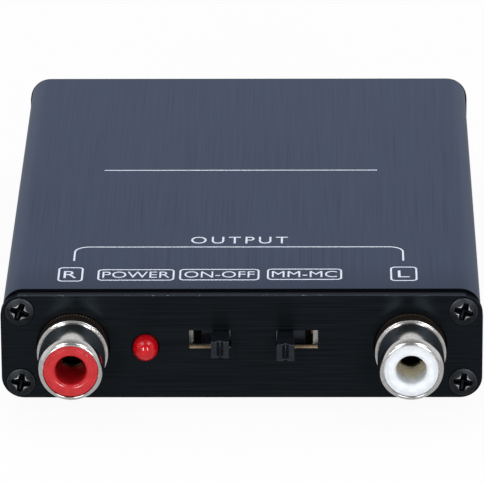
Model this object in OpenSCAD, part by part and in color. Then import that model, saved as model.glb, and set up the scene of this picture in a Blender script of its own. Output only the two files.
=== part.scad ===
// Slim phono preamplifier: an extruded sleeve closed by two screwed end panels, with one circuit board.
// Millimetres. x runs across the front, y from front to back, z up.
// The origin is on the table, under the middle of the case.

/* [Case sleeve] */
// Width of the sleeve
sleeve_w = 59.5; // [57:0.5:70]
// Height of the sleeve
sleeve_h = 14.6; // [13.8:0.1:18]
// Length that the sleeve is cut to
sleeve_len = 76; // [70:1:120]
// Wall of the sleeve
sleeve_wall = 1.2; // [0.9:0.1:1.4]
// Outside corner radius of the sleeve
sleeve_r = 2.6; // [2:0.1:3]
// Thickness of the two ribs that hold the board down
rib_t = 0.9; // [0.6:0.1:1.5]
// How far the two ribs reach in from the side walls
rib_reach = 1.6; // [1:0.1:2.5]

/* [End panels] */
// Thickness of each end panel
panel_t = 1.2; // [1:0.1:2]
// How far a panel stands out past the sleeve at each side
panel_lip = 0.25; // [0:0.05:0.6]
// How far a panel stops short of the sleeve's top and bottom
panel_drop = 0.4; // [0:0.05:0.6]
// Corner radius of the panels
panel_r = 2.8; // [2:0.1:3]

/* [Panel screws] */
// Distance of a screw from the sleeve's side
screw_side = 2.15; // [2.1:0.05:2.5]
// Distance of a screw from the sleeve's top or bottom
screw_edge = 2.55; // [2.5:0.05:3]
// Thread diameter of the screws
screw_d = 2; // [1.6:0.1:2.2]
// Length of a screw under the panel's outer face
screw_len = 7; // [4:0.5:12]
// Diameter of the countersunk head
head_d = 3.6; // [3:0.1:3.7]
// Height of the head's straight edge over the panel
head_edge = 0.12; // [0.05:0.01:0.3]
// Height of the head's raised top over that edge
head_rise = 0.35; // [0.2:0.05:0.6]
// Length across the cross recess
recess_l = 2.2; // [1.8:0.1:2.4]
// Width of one slot of the cross recess
recess_w = 0.55; // [0.4:0.05:0.7]
// Depth of the cross recess
recess_depth = 0.95; // [0.6:0.05:1.2]
// Wall of the screw channels in the sleeve's corners
channel_wall = 0.47; // [0.4:0.01:0.7]
// Slot along each screw channel
channel_slot = 0.8; // [0.4:0.1:1.2]

/* [Phono sockets] */
// Distance of each socket from the sleeve's side
jack_side = 8.75; // [8.5:0.05:9.5]
// Outside diameter of the barrel that a plug grips
barrel_d = 8.3; // [8:0.05:8.5]
// Reach of the barrel in front of the panel
barrel_out = 8; // [7:0.5:10]
// Wall of the barrel
barrel_wall = 0.72; // [0.5:0.02:0.9]
// Diameter of the collar behind the barrel
collar_d = 8.85; // [8.7:0.05:9.4]
// Reach of the collar in front of the panel
collar_out = 2.2; // [1.5:0.1:3]
// Bevel at the collar's front edge
collar_bevel = 0.25; // [0.1:0.05:0.25]
// Depth of the shell behind the panel's outer face
shell_in = 2.5; // [2.4:0.1:4]
// Depth of the socket's body behind the panel's outer face
body_in = 11; // [9:0.5:13]
// Width of the socket's body
body_w = 9.2; // [8.8:0.1:9.4]
// Height of the socket's body
body_h = 9; // [8:0.1:9.8]
// Reach of the ledges that rest on the board
ledge_reach = 0.9; // [0.6:0.1:1]
// Top of the ledges, below the socket's axis
ledge_top = 0.5; // [0.3:0.1:0.8]
// Hole through the insert
insert_hole_d = 3.75; // [3.6:0.05:4.2]
// How far the insert lies behind the rim
insert_recess = 0.15; // [0:0.05:0.5]
// Bevel at the insert's outer edge
insert_edge = 0.18; // [0.1:0.02:0.3]
// Rounding at the mouth of the insert's hole
mouth_r = 0.6; // [0.1:0.05:0.7]
// Bore of the centre contact
contact_bore = 3.2; // [3.1:0.05:3.3]
// Wall of the centre contact
contact_wall = 0.22; // [0.15:0.01:0.25]
// Reach of the centre contact in front of the panel
contact_out = 2; // [1:0.5:6]
// Thickness of the tails that are soldered to the board
tail_t = 0.4; // [0.3:0.05:0.5]
// Width of those tails
tail_w = 1.6; // [1:0.1:2]
// Length of a tail's foot on the board
tail_foot = 2.2; // [1.5:0.1:3]

/* [Power light] */
// How far the light is left of the middle between its socket and its switch
led_shift = 0.2; // [-0.2:0.05:0.2]
// Diameter of the lens
led_d = 3.16; // [2.9:0.02:3.4]
// Reach of the lens in front of the panel
led_out = 2.1; // [1.6:0.1:3]
// Diameter of the rim behind the panel
led_rim_d = 3.8; // [3.6:0.1:4]
// Thickness of that rim
led_rim_t = 1; // [0.8:0.1:1.2]
// Distance between the two leads
led_pitch = 2.54; // [2:0.01:2.54]
// Thickness of the square leads
lead_t = 0.45; // [0.4:0.05:0.5]
// Gap between that rim and the panel
led_gap = 0.2; // [0.1:0.05:0.4]
// Length of the leads behind the rim
lead_back = 2; // [1.5:0.1:3]

/* [Slide switches] */
// Middle of the power switch's window, left of the panel's middle
power_x = 3.95; // [3.5:0.05:5]
// Middle of the cartridge switch's window, right of the panel's middle
cartridge_x = 6.9; // [6.5:0.05:9]
// How far the power switch is soldered right of its window's middle
power_shift = 0.1; // [-0.15:0.05:0.15]
// How far the cartridge switch is soldered right of its window's middle
cartridge_shift = -0.22; // [-0.25:0.01:0.25]
// How much nearer to the panel the cartridge switch is soldered
cartridge_forward = 0.9; // [0:0.05:1]
// Height of the levers over the middle of the panel
lever_z = 1; // [0.8:0.1:1.5]
// Width of each window
window_w = 5.2; // [5.2:0.05:6]
// Height of each window
window_h = 2.36; // [2.36:0.02:3]
// Travel of each lever
lever_travel = 2.4; // [2:0.1:2.5]
// Width of the lever's tip
lever_w = 2.2; // [1.9:0.05:2.2]
// Height of the lever
lever_h = 2.2; // [1.8:0.05:2.2]
// Width of the lever's neck
neck_w = 1.9; // [1.4:0.05:2]
// Reach of the lever in front of the panel
lever_out = 3.5; // [2.5:0.1:5]
// Length of the lever's tip
lever_tip = 3.1; // [2:0.1:4]
// Width of the groove in the lever's tip
groove_w = 0.85; // [0.5:0.05:1]
// Depth of the groove in the lever's tip
groove_depth = 0.5; // [0.3:0.05:0.8]
// Width of the switch's steel frame
frame_w = 8.4; // [8:0.1:9]
// Depth of the frame from front to back
frame_depth = 3.7; // [3.5:0.1:5]
// Height of the frame over the lever's middle
frame_top = 2.3; // [2:0.1:3]
// Thickness of the frame's steel
frame_t = 0.4; // [0.3:0.05:0.5]
// Thickness of the laminate base that closes the frame
base_t = 1; // [0.8:0.1:1.5]
// Thickness of the slider's block
slider_t = 1.3; // [1.1:0.05:1.4]
// Thickness of the slider's spring contact
clip_t = 0.25; // [0.2:0.05:0.3]
// Width of a terminal
terminal_w = 0.8; // [0.6:0.1:1]
// Thickness of a terminal
terminal_t = 0.3; // [0.2:0.05:0.4]
// How far the terminals stand out behind the base
terminal_reach = 0.8; // [0.6:0.1:1.2]

/* [Supply socket] */
// Distance of the supply socket from the input socket beside it
supply_pitch = 12.5; // [12:0.5:14]
// Bore that takes the supply plug
supply_bore = 5.7; // [5.6:0.05:6]
// Depth of that bore
supply_depth = 9.5; // [8:0.5:10]
// Diameter of the centre pin
supply_pin_d = 2; // [1.9:0.05:2.5]
// How far the pin lies behind the panel's outer face
supply_pin_recess = 1; // [0.5:0.1:2]
// Diameter of the nose that fills the panel's hole
supply_nose_d = 7.4; // [7:0.1:8]
// Width of the supply socket's body
supply_w = 9; // [8.6:0.1:9.4]
// Height of the supply socket's body
supply_h = 9; // [8.6:0.1:9.8]
// Depth of the supply socket's body behind the panel's outer face
supply_in = 12.7; // [12:0.1:14]
// Width of the leaf contact
leaf_w = 2.2; // [1.6:0.1:2.6]
// Thickness of the leaf contact
leaf_t = 0.3; // [0.2:0.05:0.4]

/* [Ground terminal] */
// Distance of the ground terminal from the input socket beside it
ground_pitch = 12.5; // [11:0.5:14]
// Diameter of the threaded post
post_d = 3; // [2.5:0.1:3.2]
// Reach of the post behind the panel
post_out = 7.8; // [7:0.1:8]
// Width across the flats of the post's head and lock nut
hex_flats = 5; // [5:0.1:5.6]
// Thickness of the post's head
post_head_t = 1.5; // [1.2:0.1:2]
// Thickness of the lock nut
lock_nut_t = 1.8; // [1.4:0.1:2.2]
// Thickness of the clamping washer
washer_t = 0.5; // [0.4:0.1:0.8]
// Diameter of the clamping washer
washer_d = 6; // [5.5:0.1:7]
// Diameter of the knurled thumb nut
thumb_d = 7; // [6.5:0.1:7.5]
// Thickness of the thumb nut
thumb_t = 3.6; // [3:0.1:3.8]
// Number of flutes round the thumb nut
thumb_flutes = 20; // [12:1:28]
// Radius of one flute
flute_r = 0.35; // [0.2:0.05:0.5]
// Gap between the post's head and the solder tag's foot on the board
tag_gap = 0.1; // [0.1:0.05:0.5]
// Thickness of the solder tag under the panel
tag_t = 0.4; // [0.3:0.05:0.5]
// Diameter of the solder tag's eye
tag_d = 5.8; // [5.8:0.1:6.4]

/* [Circuit board] */
// Thickness of the board
board_t = 1.6; // [1.2:0.1:1.8]
// Gap between the board and the sleeve's side walls
board_side_gap = 0.35; // [0.2:0.05:0.6]
// Gap between the board and each end panel
board_end_gap = 0.5; // [0.3:0.1:0.6]

/* [Board components] */
// Diameter of the electrolytic capacitors
can_d = 6.3; // [5:0.1:8]
// Height of the electrolytic capacitors
can_h = 5.8; // [4:0.1:6.5]
// Length of the film capacitors
film_l = 7.2; // [5:0.1:9]
// Thickness of the film capacitors
film_t = 3.5; // [2.5:0.1:5]
// Height of the film capacitors
film_h = 6; // [4:0.1:6.5]
// Length of an amplifier chip's body
chip_l = 5; // [4:0.1:6]
// Width of an amplifier chip's body
chip_w = 4; // [3:0.1:5]
// Height of an amplifier chip
chip_h = 1.6; // [1.2:0.1:1.9]
// Length of the regulator's body
regulator_l = 6.5; // [5:0.1:7]
// Width of the regulator's body
regulator_w = 3.5; // [3:0.1:4]
// Height of the regulator
regulator_h = 1.7; // [1.2:0.1:1.8]
// Length of a resistor
resistor_l = 3.2; // [2:0.1:3.2]
// Width of a resistor
resistor_w = 1.6; // [1.2:0.1:1.6]
// Height of a resistor
resistor_h = 0.6; // [0.4:0.1:0.8]

// Distance of the electrolytic capacitors from the board's sides
can_side = 6.7; // [6:0.1:8]
// Place of the front pair, from the board's middle
can_front = -19; // [-20:0.5:-18]
// Place of the rear pair, from the board's middle
can_rear = 17; // [15:0.5:18]
// Distance of the film capacitors from the board's sides
film_side = 7.7; // [7:0.1:9]
// Place of the front pair, from the board's middle
film_front = -8; // [-10:0.5:-6]
// Place of the rear pair, from the board's middle
film_rear = 4; // [2:0.5:6]
// Distance of the chips from the board's middle line
chip_x = 6; // [5:0.5:8]
// Place of the amplifier chips, from the board's middle
chip_y = -6; // [-8:0.5:-4]
// Place of the regulator, from the board's middle
regulator_y = 16; // [15:0.5:18]
// Distance between the columns of resistors
resistor_pitch = 6; // [5:0.5:7]
// Place of the front row, from the board's middle
resistor_front = -16; // [-18:0.5:-14]
// Place of the middle row, from the board's middle
resistor_middle = 4; // [2:0.5:5]
// Place of the rear row, from the board's middle
resistor_rear = 9; // [8.5:0.5:11]

/* [Feet] */
// Diameter of a foot where it is stuck on
foot_d = 8; // [6:0.5:10]
// Height of a foot
foot_h = 1.5; // [1:0.1:3]
// How much less a foot measures in radius at the table
foot_taper = 0.3; // [0:0.1:1]
// Bevel at a foot's lower edge
foot_edge = 0.35; // [0.1:0.05:0.6]
// Distance of the feet from the sleeve's sides
foot_side = 7.5; // [6:0.5:15]
// Distance of the feet from the sleeve's ends
foot_end = 11; // [8:0.5:20]

/* [Clearances] */
// Round the collars, the light and the supply socket's nose in their panel holes
hole_gap = 0.1; // [0.05:0.01:0.2]
// Between a screw and its channel
thread_gap = 0.03; // [0.02:0.01:0.05]
// Between a screw and its countersunk hole
sink_gap = 0.06; // [0.04:0.01:0.1]
// Round pieces that are pushed into one another
push_gap = 0.04; // [0.02:0.01:0.05]
// Round the socket bodies in the board's notches
notch_gap = 0.15; // [0.1:0.05:0.3]
// Over the board, under the ribs
rib_gap = 0.1; // [0.05:0.05:0.2]
// Round the sliders in their frames
slide_gap = 0.1; // [0.06:0.01:0.15]
// At each end of a lever's travel
stop_gap = 0.05; // [0.02:0.01:0.1]
// How much further the frame's slot runs below the lever
slot_drop = 0.45; // [0.2:0.05:0.5]
// At each end of a slider's travel, where the lever stops first
slider_gap = 0.15; // [0.12:0.01:0.3]
// Between the power switch's frame and the panel
frame_gap = 1.1; // [1.1:0.05:1.5]
// Between the thumb nut's thread and the post
nut_gap = 0.05; // [0.03:0.01:0.08]
// Round leads and terminals in the board's holes
lead_gap = 0.15; // [0.1:0.05:0.2]

/* [Hidden] */
$fn = 48;

// How far a cut runs past the face that it goes through
past = 0.5;

// Case: heights from here on are measured from the middle of the case
mid_z = foot_h + sleeve_h / 2;
face_y = sleeve_len / 2 + panel_t;
cavity_w = sleeve_w - 2 * sleeve_wall;
cavity_h = sleeve_h - 2 * sleeve_wall;
cavity_r = sleeve_r - sleeve_wall;
rib_root = sleeve_wall / 2;
panel_w = sleeve_w + 2 * panel_lip;
panel_h = sleeve_h - 2 * panel_drop;
screw_x = sleeve_w / 2 - screw_side;
screw_z = sleeve_h / 2 - screw_edge;
screw_r = screw_d / 2;
head_r = head_d / 2;
channel_r = screw_r + thread_gap + channel_wall;

// Board: it lies on the lower screw channels, under the ribs
board_bottom = channel_r - screw_z;
board_top = board_bottom + board_t;
board_w = cavity_w - 2 * board_side_gap;
board_len = sleeve_len - 2 * board_end_gap;

// Phono sockets
jack_x = sleeve_w / 2 - jack_side;
barrel_r = barrel_d / 2;
shell_bore = barrel_r - barrel_wall;
collar_r = collar_d / 2;
rim_edge = 0.06;
rim_r = barrel_wall - 2 * rim_edge;
insert_r = shell_bore - push_gap;
insert_front = barrel_out - insert_recess;
insert_hole_r = insert_hole_d / 2;
contact_r = contact_bore / 2 + contact_wall;
contact_cuts = 2;
contact_cut_w = 0.3;
contact_cut_l = 4;
ear_reach = body_w / 2 + ledge_reach;
ear_root = 3.9;
ear_top = -0.2;
body_edge = 0.6;
ledge_short = 1;
insert_red = "firebrick";
insert_white = "white";

// Power light: it stands between the right output's ears and the power switch's frame
led_x = (jack_x - ear_reach + power_x - power_shift + frame_w / 2) / 2 + led_shift;
led_r = led_d / 2;
led_rim_front = panel_t + led_gap;
led_back = led_rim_front + led_rim_t;
lead_in = led_back + lead_back;
lead_below = 1;
led_notch_w = led_rim_d + 2 * notch_gap;

// Slide switches: depths are behind the panel's outer face
frame_in = panel_t + frame_gap;
slot_w = neck_w + lever_travel + 2 * stop_gap;
slot_h = lever_h + 2 * slide_gap;
frame_back = frame_in + frame_depth;
frame_foot = board_top - lever_z;
slider_w = frame_w - 2 * frame_t - lever_travel - 2 * slider_gap;
slider_in = frame_in + frame_t + slide_gap;
slider_back = slider_in + slider_t;
clip_back = slider_back + clip_t;
base_in = frame_back - base_t;
terminal_in = clip_back + slide_gap;
terminal_back = frame_back + terminal_reach;
terminal_pitch = lever_travel;
terminal_below = 1;
tab_w = 1.6;
tab_below = 0.8;
slider_foot = frame_foot + frame_t + slide_gap;
slider_top = frame_top - frame_t - slide_gap;
pad_h = 1.4;

// Supply socket
supply_x = jack_x - supply_pitch;
supply_bore_r = supply_bore / 2;
supply_pin_r = supply_pin_d / 2;
supply_pin_tail_r = 0.6;
supply_front = 0.2;
supply_floor = supply_front + supply_depth;
leaf_slot = 0.1;
leaf_in = 3;
leaf_tail = 2.2;
leaf_top = board_bottom;

// Ground terminal: distances are outwards from the panel's outer face
ground_x = jack_x - ground_pitch;
ground_z = board_top + tag_t + tag_gap + hex_flats / 2;
post_r = post_d / 2;
washer_out = lock_nut_t;
thumb_out = washer_out + washer_t;
thumb_r = thumb_d / 2;
thumb_edge = 0.4;
tag_foot = 2;
tag_tail_w = 2;

// Legs along each side of the chips, and their spacing
chip_legs = 4;
chip_pitch = 1.27;
regulator_legs = 3;
regulator_pitch = 2.3;
leg_lift = 0.15;
leg_w = 0.42;
leg_reach = 1;
leg_t = 0.2;

// Moulded base under an electrolytic capacitor's can
can_base_h = 0.8;
can_base_rim = 0.15;

// Places on the board, from its middle
can_x = board_w / 2 - can_side;
film_x = board_w / 2 - film_side;
can_places = [for (y = [can_front, can_rear], sx = [-1, 1]) [sx * can_x, y]];
film_places = [for (y = [film_front, film_rear], sx = [-1, 1]) [sx * film_x, y]];
chip_places = [for (sx = [-1, 1]) [sx * chip_x, chip_y]];
regulator_place = [-chip_x, regulator_y];
resistor_columns = 4;
resistor_places = [
    for (i = [0:resistor_columns - 1], y = [resistor_front, resistor_middle, resistor_rear])
        [(i - (resistor_columns - 1) / 2) * resistor_pitch, y]
];

// One point list along a round stretch of a profile
function arc(centre, r, from, to, steps) = [
    for (i = [0:steps])
        let (a = from + (to - from) * i / steps)
        centre + r * [cos(a), sin(a)]
];

// A place on the front panel's outer face, x across and z from the middle; -y points out of the case
module at_front(x, z = 0) translate([x, -face_y, mid_z + z]) children();

// The same on the rear panel, turned round so that -y still points out of the case
module at_rear(x, z = 0) translate([x, face_y, mid_z + z]) rotate([0, 0, 180]) children();

// Turns +z to point out of the case, from out in front of the panel's face
module outward(out = 0) translate([0, -out, 0]) rotate([90, 0, 0]) children();

// A solid turned round the axis that points out of the case; the profile holds [radius, out] points
module turned(profile) outward() rotate_extrude() polygon(profile);

// A block from inner to outer, measured out of the case, with x and z from low to high
module block(x, z, inner, outer)
    translate([x[0], -outer, z[0]]) cube([x[1] - x[0], outer - inner, z[1] - z[0]]);

module rounded_rect(w, h, r) {
    square([w - 2 * r, h], center = true);
    square([w, h - 2 * r], center = true);
    for (sx = [-1, 1], sz = [-1, 1])
        translate([sx * (w / 2 - r), sz * (h / 2 - r)]) circle(r);
}

module at_screws()
    for (sx = [-1, 1], sz = [-1, 1]) translate([sx * screw_x, sz * screw_z]) children();

// Case

module sleeve_section() {
    difference() {
        union() {
            difference() {
                rounded_rect(sleeve_w, sleeve_h, sleeve_r);
                rounded_rect(cavity_w, cavity_h, cavity_r);
            }
            at_screws() circle(channel_r);
            for (sx = [-1, 1])
                translate([sx * (cavity_w + rib_root - rib_reach) / 2, board_top + rib_gap + rib_t / 2])
                    square([rib_reach + rib_root, rib_t], center = true);
        }
        at_screws() circle(screw_r + thread_gap);
        for (sx = [-1, 1], sz = [-1, 1])
            translate([sx * (screw_x - channel_r), sz * screw_z])
                square([2 * channel_r, channel_slot], center = true);
    }
}

module case_sleeve()
    color("dimgray")
        translate([0, sleeve_len / 2, mid_z]) rotate([90, 0, 0])
            linear_extrude(sleeve_len) sleeve_section();

// A panel without its holes
module panel_blank() outward(-panel_t) linear_extrude(panel_t) rounded_rect(panel_w, panel_h, panel_r);

module through(r) outward(-panel_t - past) cylinder(h = panel_t + 2 * past, r = r);

// Four countersunk holes, as wide at the face as the screw heads
module screw_holes()
    at_panel_screws() {
        through(screw_r + sink_gap);
        outward(screw_r - head_r)
            cylinder(h = head_r - screw_r, r1 = screw_r + sink_gap, r2 = head_r + sink_gap);
        outward() cylinder(h = past, r = head_r + sink_gap);
    }

module at_panel_screws()
    for (sx = [-1, 1], sz = [-1, 1]) translate([sx * screw_x, 0, sz * screw_z]) children();

module jack_holes() for (sx = [-1, 1]) translate([sx * jack_x, 0, 0]) through(collar_r + hole_gap);

module switch_window(x)
    block([x - window_w / 2, x + window_w / 2], [lever_z - window_h / 2, lever_z + window_h / 2],
        -panel_t - past, past);

module front_panel()
    color([0.08, 0.09, 0.1]) at_front(0) difference() {
        panel_blank();
        screw_holes();
        jack_holes();
        translate([-led_x, 0, 0]) through(led_r + hole_gap);
        switch_window(-power_x);
        switch_window(cartridge_x);
    }

module rear_panel()
    color([0.08, 0.09, 0.1]) at_rear(0) difference() {
        panel_blank();
        screw_holes();
        jack_holes();
        translate([supply_x, 0, 0]) through(supply_nose_d / 2 + hole_gap);
        translate([-ground_x, 0, ground_z]) through(post_r + hole_gap);
    }

// Raised countersunk screw with a cross recess, as turned by hand to that angle
module panel_screw(turn) {
    top_r = (head_r * head_r + head_rise * head_rise) / (2 * head_rise);
    top_angle = asin(head_r / top_r);
    top_out = head_edge + head_rise;
    difference() {
        turned(concat(
            [[0, -screw_len], [screw_r, -screw_len], [screw_r, screw_r - head_r], [head_r, 0]],
            arc([0, top_out - top_r], top_r, 90 - top_angle, 90, 6)
        ));
        outward(top_out - recess_depth) rotate([0, 0, turn]) intersection() {
            union() {
                translate([0, 0, recess_depth / 2 + past / 2])
                    cube([recess_l, recess_w, recess_depth + past], center = true);
                translate([0, 0, recess_depth / 2 + past / 2])
                    cube([recess_w, recess_l, recess_depth + past], center = true);
            }
            cylinder(h = recess_depth + past / 2, r1 = recess_w / 2, r2 = recess_l / 2);
        }
    }
}

module screw_set(turns)
    for (i = [0:3])
        translate([(i % 2 == 0 ? -1 : 1) * screw_x, 0, (i < 2 ? 1 : -1) * screw_z]) panel_screw(turns[i]);

module front_screws() color([0.1, 0.1, 0.11]) at_front(0) screw_set([-20, -17, -10, -8]);

module rear_screws() color([0.1, 0.1, 0.11]) at_rear(0) screw_set([12, -25, 33, 5]);

// Self-adhesive feet, a little narrower at the table
module rubber_feet()
    color([0.13, 0.13, 0.13])
        for (sx = [-1, 1], sy = [-1, 1])
            translate([sx * (sleeve_w / 2 - foot_side), sy * (sleeve_len / 2 - foot_end), 0])
                rotate_extrude() polygon([
                    [0, 0], [foot_d / 2 - foot_taper - foot_edge, 0], [foot_d / 2 - foot_taper, foot_edge],
                    [foot_d / 2, foot_h], [0, foot_h]
                ]);

// Board, with notches for what is sunk in its edges and holes for what is soldered through it

module board_notch(x, w, depth)
    translate([x - w / 2, -face_y]) square([w, depth]);

module board_holes(x, forward)
    translate([x, -face_y - forward]) {
        for (i = [-1:1])
            translate([i * terminal_pitch, terminal_back - terminal_t / 2])
                circle(terminal_w / 2 + lead_gap);
        for (sx = [-1, 1])
            translate([sx * (frame_w - frame_t) / 2, frame_in + frame_depth / 2])
                square([frame_t + 2 * lead_gap, tab_w + 2 * lead_gap], center = true);
    }

module circuit_board()
    color([0.12, 0.3, 0.18])
        translate([0, 0, mid_z + board_bottom]) linear_extrude(board_t) difference() {
            square([board_w, board_len], center = true);
            for (sx = [-1, 1], turn = [0, 180]) rotate(turn)
                board_notch(sx * jack_x, body_w + 2 * notch_gap, body_in + tail_t + notch_gap);
            board_notch(-led_x, led_notch_w, led_back + notch_gap);
            rotate(180) board_notch(supply_x, supply_w + 2 * notch_gap, supply_in + tail_t + notch_gap);
            board_holes(power_shift - power_x, 0);
            board_holes(cartridge_shift + cartridge_x, cartridge_forward);
            for (sx = [-1, 1])
                translate([sx * led_pitch / 2 - led_x, lead_in - lead_t / 2 - face_y])
                    circle(lead_t / 2 + 2 * lead_gap);
        }

// Phono sockets: a turned shell, a plastic insert, a slotted centre contact and a moulded body

module jack_shell()
    color([0.72, 0.71, 0.68]) {
        turned(concat(
            [
                [shell_bore, -shell_in], [collar_r, -shell_in], [collar_r, collar_out - collar_bevel],
                [collar_r - collar_bevel, collar_out], [barrel_r, collar_out]
            ],
            arc([barrel_r - rim_r, barrel_out - rim_r], rim_r, 0, 90, 8),
            [[shell_bore + rim_edge, barrel_out], [shell_bore, barrel_out - rim_edge]]
        ));
        for (sx = [-1, 1]) mirror([sx < 0 ? 1 : 0, 0, 0])
            block([ear_root, ear_reach], [board_top, ear_top], -shell_in, tail_t - shell_in);
    }

module jack_insert(shade)
    color(shade) turned(concat(
        [[insert_hole_r, -shell_in], [insert_r, -shell_in], [insert_r, insert_front - insert_edge],
            [insert_r - insert_edge, insert_front]],
        arc([insert_hole_r + mouth_r, insert_front - mouth_r], mouth_r, 90, 180, 4)
    ));

module jack_contact()
    color([0.8, 0.78, 0.7]) {
        difference() {
            outward(-body_in - tail_t) cylinder(h = body_in + tail_t + contact_out, r = contact_r);
            outward(-body_in) cylinder(h = body_in + contact_out + past, r = contact_bore / 2);
            for (i = [0:contact_cuts - 1])
                outward(contact_out - contact_cut_l) rotate([0, 0, 45 + i * 180 / contact_cuts])
                    translate([0, 0, contact_cut_l])
                        cube([2 * contact_r + past, contact_cut_w, 2 * contact_cut_l], center = true);
        }
        block([-tail_w / 2, tail_w / 2], [board_top, 0], -body_in - tail_t, -body_in);
        block([-tail_w / 2, tail_w / 2], [board_top, board_top + tail_t], -body_in - tail_foot, -body_in);
    }

module jack_body()
    color([0.15, 0.15, 0.16]) difference() {
        union() {
            outward(-body_in) linear_extrude(body_in - shell_in) rounded_rect(body_w, body_h, body_edge);
            block([-ear_reach, ear_reach], [board_top, -ledge_top], ledge_short - body_in, -shell_in);
        }
        outward(-body_in - past) cylinder(h = body_in, r = contact_r + push_gap);
    }

module out_right_shell() at_front(-jack_x) jack_shell();
module out_right_insert() at_front(-jack_x) jack_insert(insert_red);
module out_right_contact() at_front(-jack_x) jack_contact();
module out_right_body() at_front(-jack_x) jack_body();
module out_left_shell() at_front(jack_x) jack_shell();
module out_left_insert() at_front(jack_x) jack_insert(insert_white);
module out_left_contact() at_front(jack_x) jack_contact();
module out_left_body() at_front(jack_x) jack_body();
module in_right_shell() at_rear(-jack_x) jack_shell();
module in_right_insert() at_rear(-jack_x) jack_insert(insert_red);
module in_right_contact() at_rear(-jack_x) jack_contact();
module in_right_body() at_rear(-jack_x) jack_body();
module in_left_shell() at_rear(jack_x) jack_shell();
module in_left_insert() at_rear(jack_x) jack_insert(insert_white);
module in_left_contact() at_rear(jack_x) jack_contact();
module in_left_body() at_rear(jack_x) jack_body();

// Power light: a domed lens with a rim behind the panel, and two leads bent down into the board

module power_light_lens()
    color("red") at_front(-led_x) turned(concat(
        [
            [0, -led_back], [led_rim_d / 2, -led_back], [led_rim_d / 2, -led_rim_front],
            [led_r, -led_rim_front]
        ],
        arc([0, led_out - led_r], led_r, 0, 90, 10)
    ));

module power_light_leads()
    color("silver") at_front(-led_x)
        for (sx = [-1, 1]) translate([sx * led_pitch / 2, 0, 0]) {
            block([-lead_t / 2, lead_t / 2], [-lead_t / 2, lead_t / 2], -lead_in, -led_back);
            block([-lead_t / 2, lead_t / 2], [board_bottom - lead_below, lead_t / 2],
                -lead_in, lead_t - lead_in);
        }

// Slide switches: a drawn steel frame, a laminate base with three terminals, a lever with a spring clip.
// Places are from the middle of the lever's slot, at the lever's own height.

module switch_frame()
    color("silver") {
        difference() {
            block([-frame_w / 2, frame_w / 2], [frame_foot, frame_top], -frame_back, -frame_in);
            block([frame_t - frame_w / 2, frame_w / 2 - frame_t],
                [frame_foot + frame_t, frame_top - frame_t], -frame_back - past, -frame_in - frame_t);
            block([-slot_w / 2, slot_w / 2], [-slot_h / 2 - slot_drop, slot_h / 2],
                -frame_in - frame_t - past, past - frame_in);
        }
        for (sx = [-1, 1]) translate([sx * (frame_w - frame_t) / 2, 0, 0])
            block([-frame_t / 2, frame_t / 2], [frame_foot - board_t - tab_below, frame_foot],
                -frame_in - frame_depth / 2 - tab_w / 2, -frame_in - frame_depth / 2 + tab_w / 2);
    }

module at_terminals() for (i = [-1:1]) translate([i * terminal_pitch, 0, 0]) children();

module switch_base()
    color([0.45, 0.28, 0.14]) difference() {
        block([frame_t + push_gap - frame_w / 2, frame_w / 2 - frame_t - push_gap],
            [frame_foot + frame_t + push_gap, frame_top - frame_t - push_gap], -frame_back, -base_in);
        at_terminals()
            block([-terminal_w / 2 - push_gap, terminal_w / 2 + push_gap],
                [-terminal_t / 2 - push_gap, terminal_t / 2 + push_gap],
                -frame_back - past, past - base_in);
    }

module switch_terminals()
    color([0.8, 0.75, 0.6]) at_terminals() {
        block([-terminal_w / 2, terminal_w / 2], [-terminal_t / 2, terminal_t / 2],
            -terminal_back, -terminal_in);
        block([-terminal_w / 2, terminal_w / 2], [-pad_h / 2, pad_h / 2], -base_in, -terminal_in);
        block([-terminal_w / 2, terminal_w / 2], [frame_foot - board_t - terminal_below, terminal_t / 2],
            -terminal_back, terminal_t - terminal_back);
    }

module switch_lever()
    color([0.09, 0.09, 0.1]) difference() {
        union() {
            block([-slider_w / 2, slider_w / 2], [slider_foot, slider_top], -slider_back, -slider_in);
            block([-neck_w / 2, neck_w / 2], [-lever_h / 2, lever_h / 2],
                -slider_in - slider_t / 2, lever_out);
            block([-lever_w / 2, lever_w / 2], [-lever_h / 2, lever_h / 2],
                lever_out - lever_tip, lever_out);
        }
        translate([0, -lever_out, -lever_h]) linear_extrude(2 * lever_h) polygon([
            [-groove_w / 2, -past], [groove_w / 2, -past], [groove_w / 2, 0], [0, groove_depth],
            [-groove_w / 2, 0]
        ]);
    }

// One strip that bridges two neighbouring terminals
module switch_clip()
    color([0.8, 0.6, 0.3])
        block([-terminal_pitch / 2 - terminal_w / 2, terminal_pitch / 2 + terminal_w / 2],
            [-pad_h / 2, pad_h / 2], -clip_back, -slider_back);

module at_power_switch() at_front(power_shift - power_x, lever_z) children();
module at_cartridge_switch()
    at_front(cartridge_shift + cartridge_x, lever_z) translate([0, -cartridge_forward, 0]) children();

// Levers as they stand in the picture: power at the right end, cartridge at the left end
power_rest = lever_travel / 2;
cartridge_rest = -lever_travel / 2;

module power_switch_frame() at_power_switch() switch_frame();
module power_switch_base() at_power_switch() switch_base();
module power_switch_terminals() at_power_switch() switch_terminals();
module power_switch_lever() at_power_switch() translate([power_rest, 0, 0]) switch_lever();
module power_switch_clip() at_power_switch() translate([power_rest, 0, 0]) switch_clip();
module cartridge_switch_frame() at_cartridge_switch() switch_frame();
module cartridge_switch_base() at_cartridge_switch() switch_base();
module cartridge_switch_terminals() at_cartridge_switch() switch_terminals();
module cartridge_switch_lever() at_cartridge_switch() translate([cartridge_rest, 0, 0]) switch_lever();
module cartridge_switch_clip() at_cartridge_switch() translate([cartridge_rest, 0, 0]) switch_clip();

// Supply socket: a moulded body sunk in the board's rear edge, a centre pin and a leaf contact

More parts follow.
